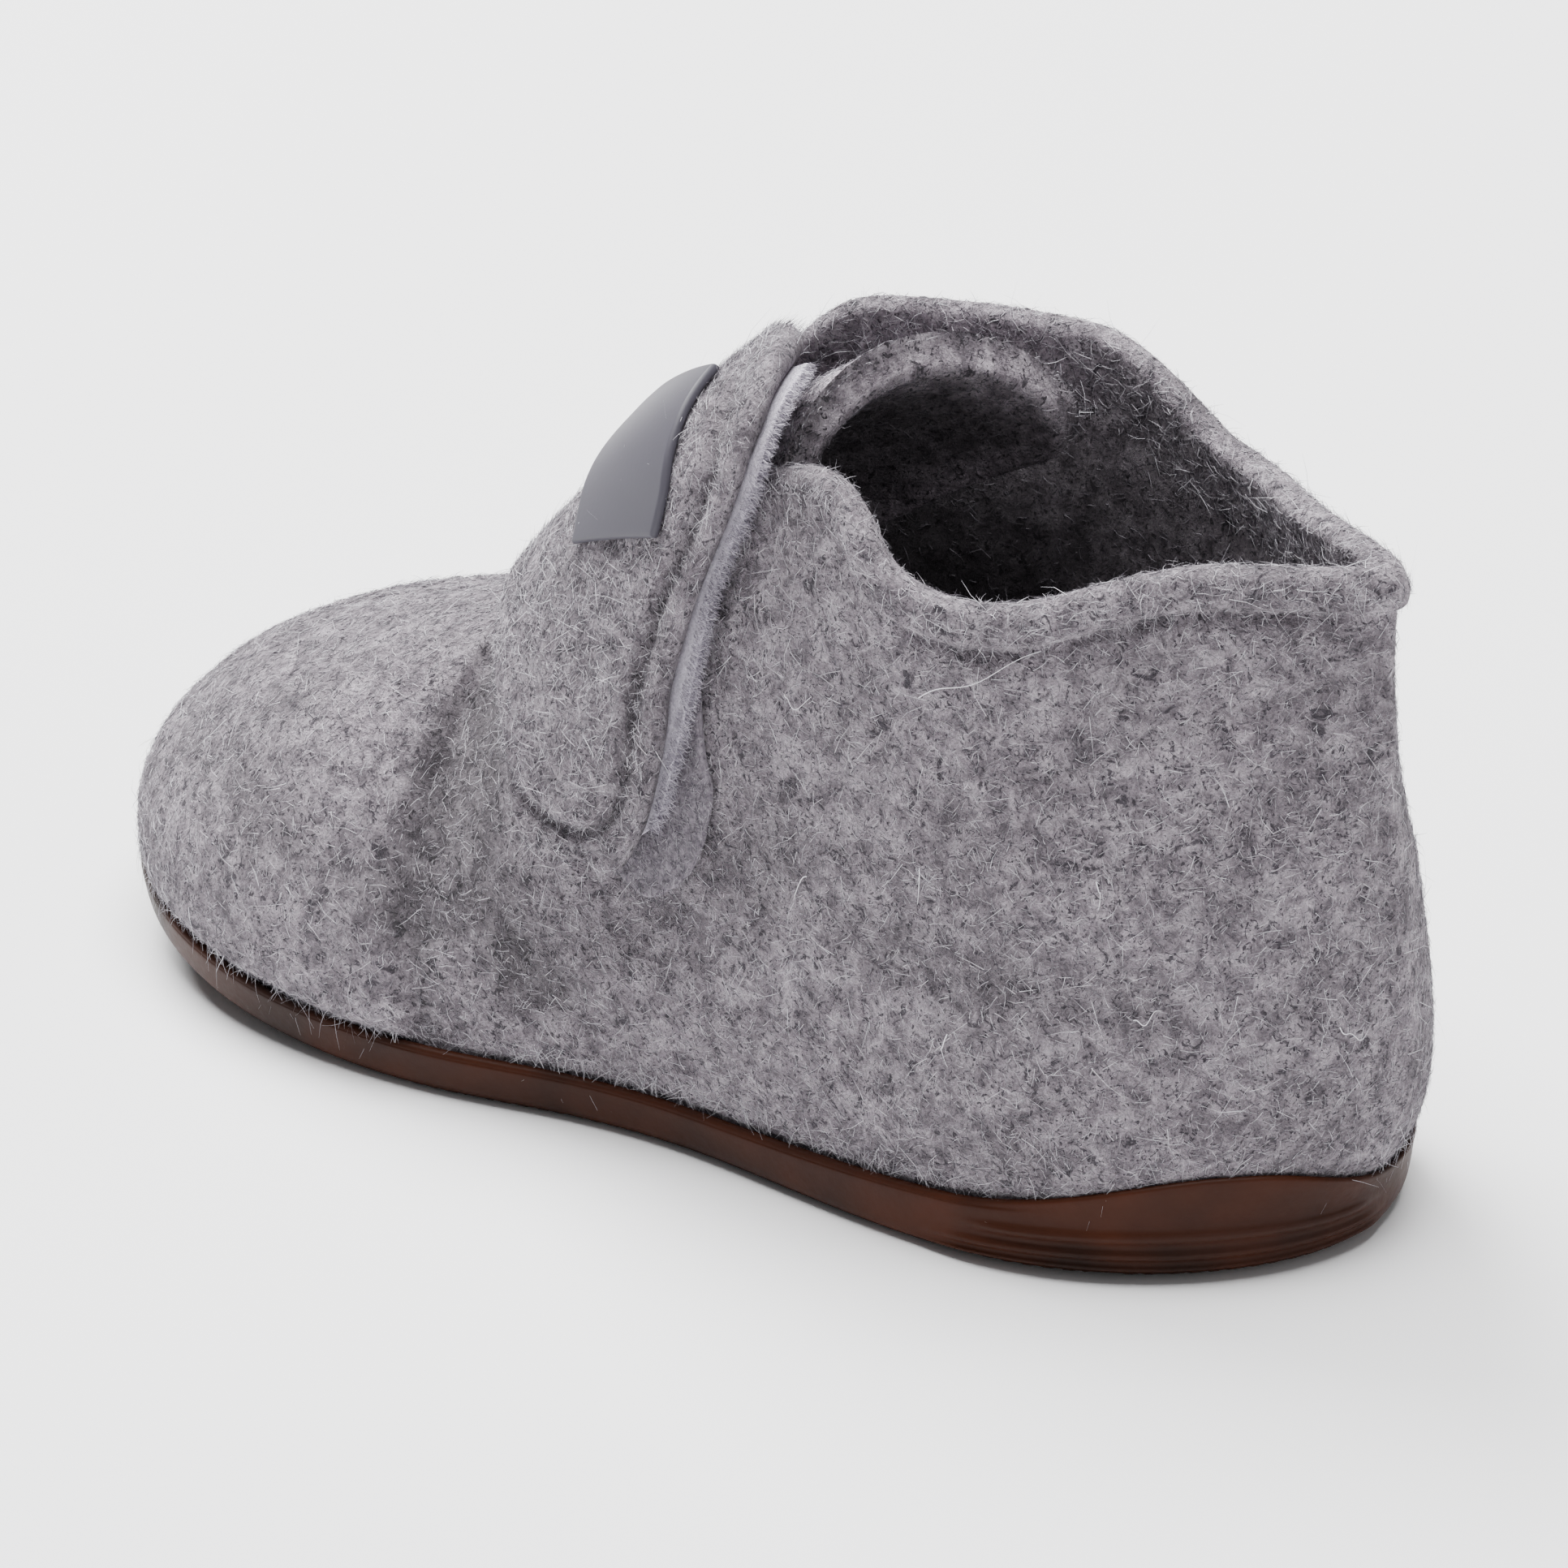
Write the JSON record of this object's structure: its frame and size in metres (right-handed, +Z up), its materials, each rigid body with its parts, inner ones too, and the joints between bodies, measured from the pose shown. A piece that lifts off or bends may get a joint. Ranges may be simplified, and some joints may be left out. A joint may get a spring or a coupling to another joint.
{
  "type": "baby shoe",
  "caption": "Baby shoe of thick grey wool felt with a rubber cup sole, wide collar, curled tongue, hook and loop strap over the instep, and a plain rubber badge; a left shoe.",
  "frame": {"origin": "middle of the bounding box in X and Y, on the floor that the tread rests on", "axes": "+X from the heel to the toe, +Y to the outer side of the foot (lateral), +Z up"},
  "size_m": [0.1428, 0.0592, 0.0783],
  "materials": {
    "outsole": "satin brown rubber",
    "upper": "matt mottled grey felt",
    "insole": "matt grey felt",
    "tongue": "matt mottled grey felt",
    "strap": "matt mottled grey felt",
    "loop_patch": "matt woven loop tape",
    "hook_tape": "matt hook tape",
    "badge": "satin grey rubber"
  },
  "bodies": {
    "root": {"outsole": "outsole", "upper": "upper", "insole": "insole", "tongue": "tongue", "strap": "strap", "loop_patch": "loop_patch", "hook_tape": "hook_tape", "badge": "badge"}
  },
  "joints": []
}
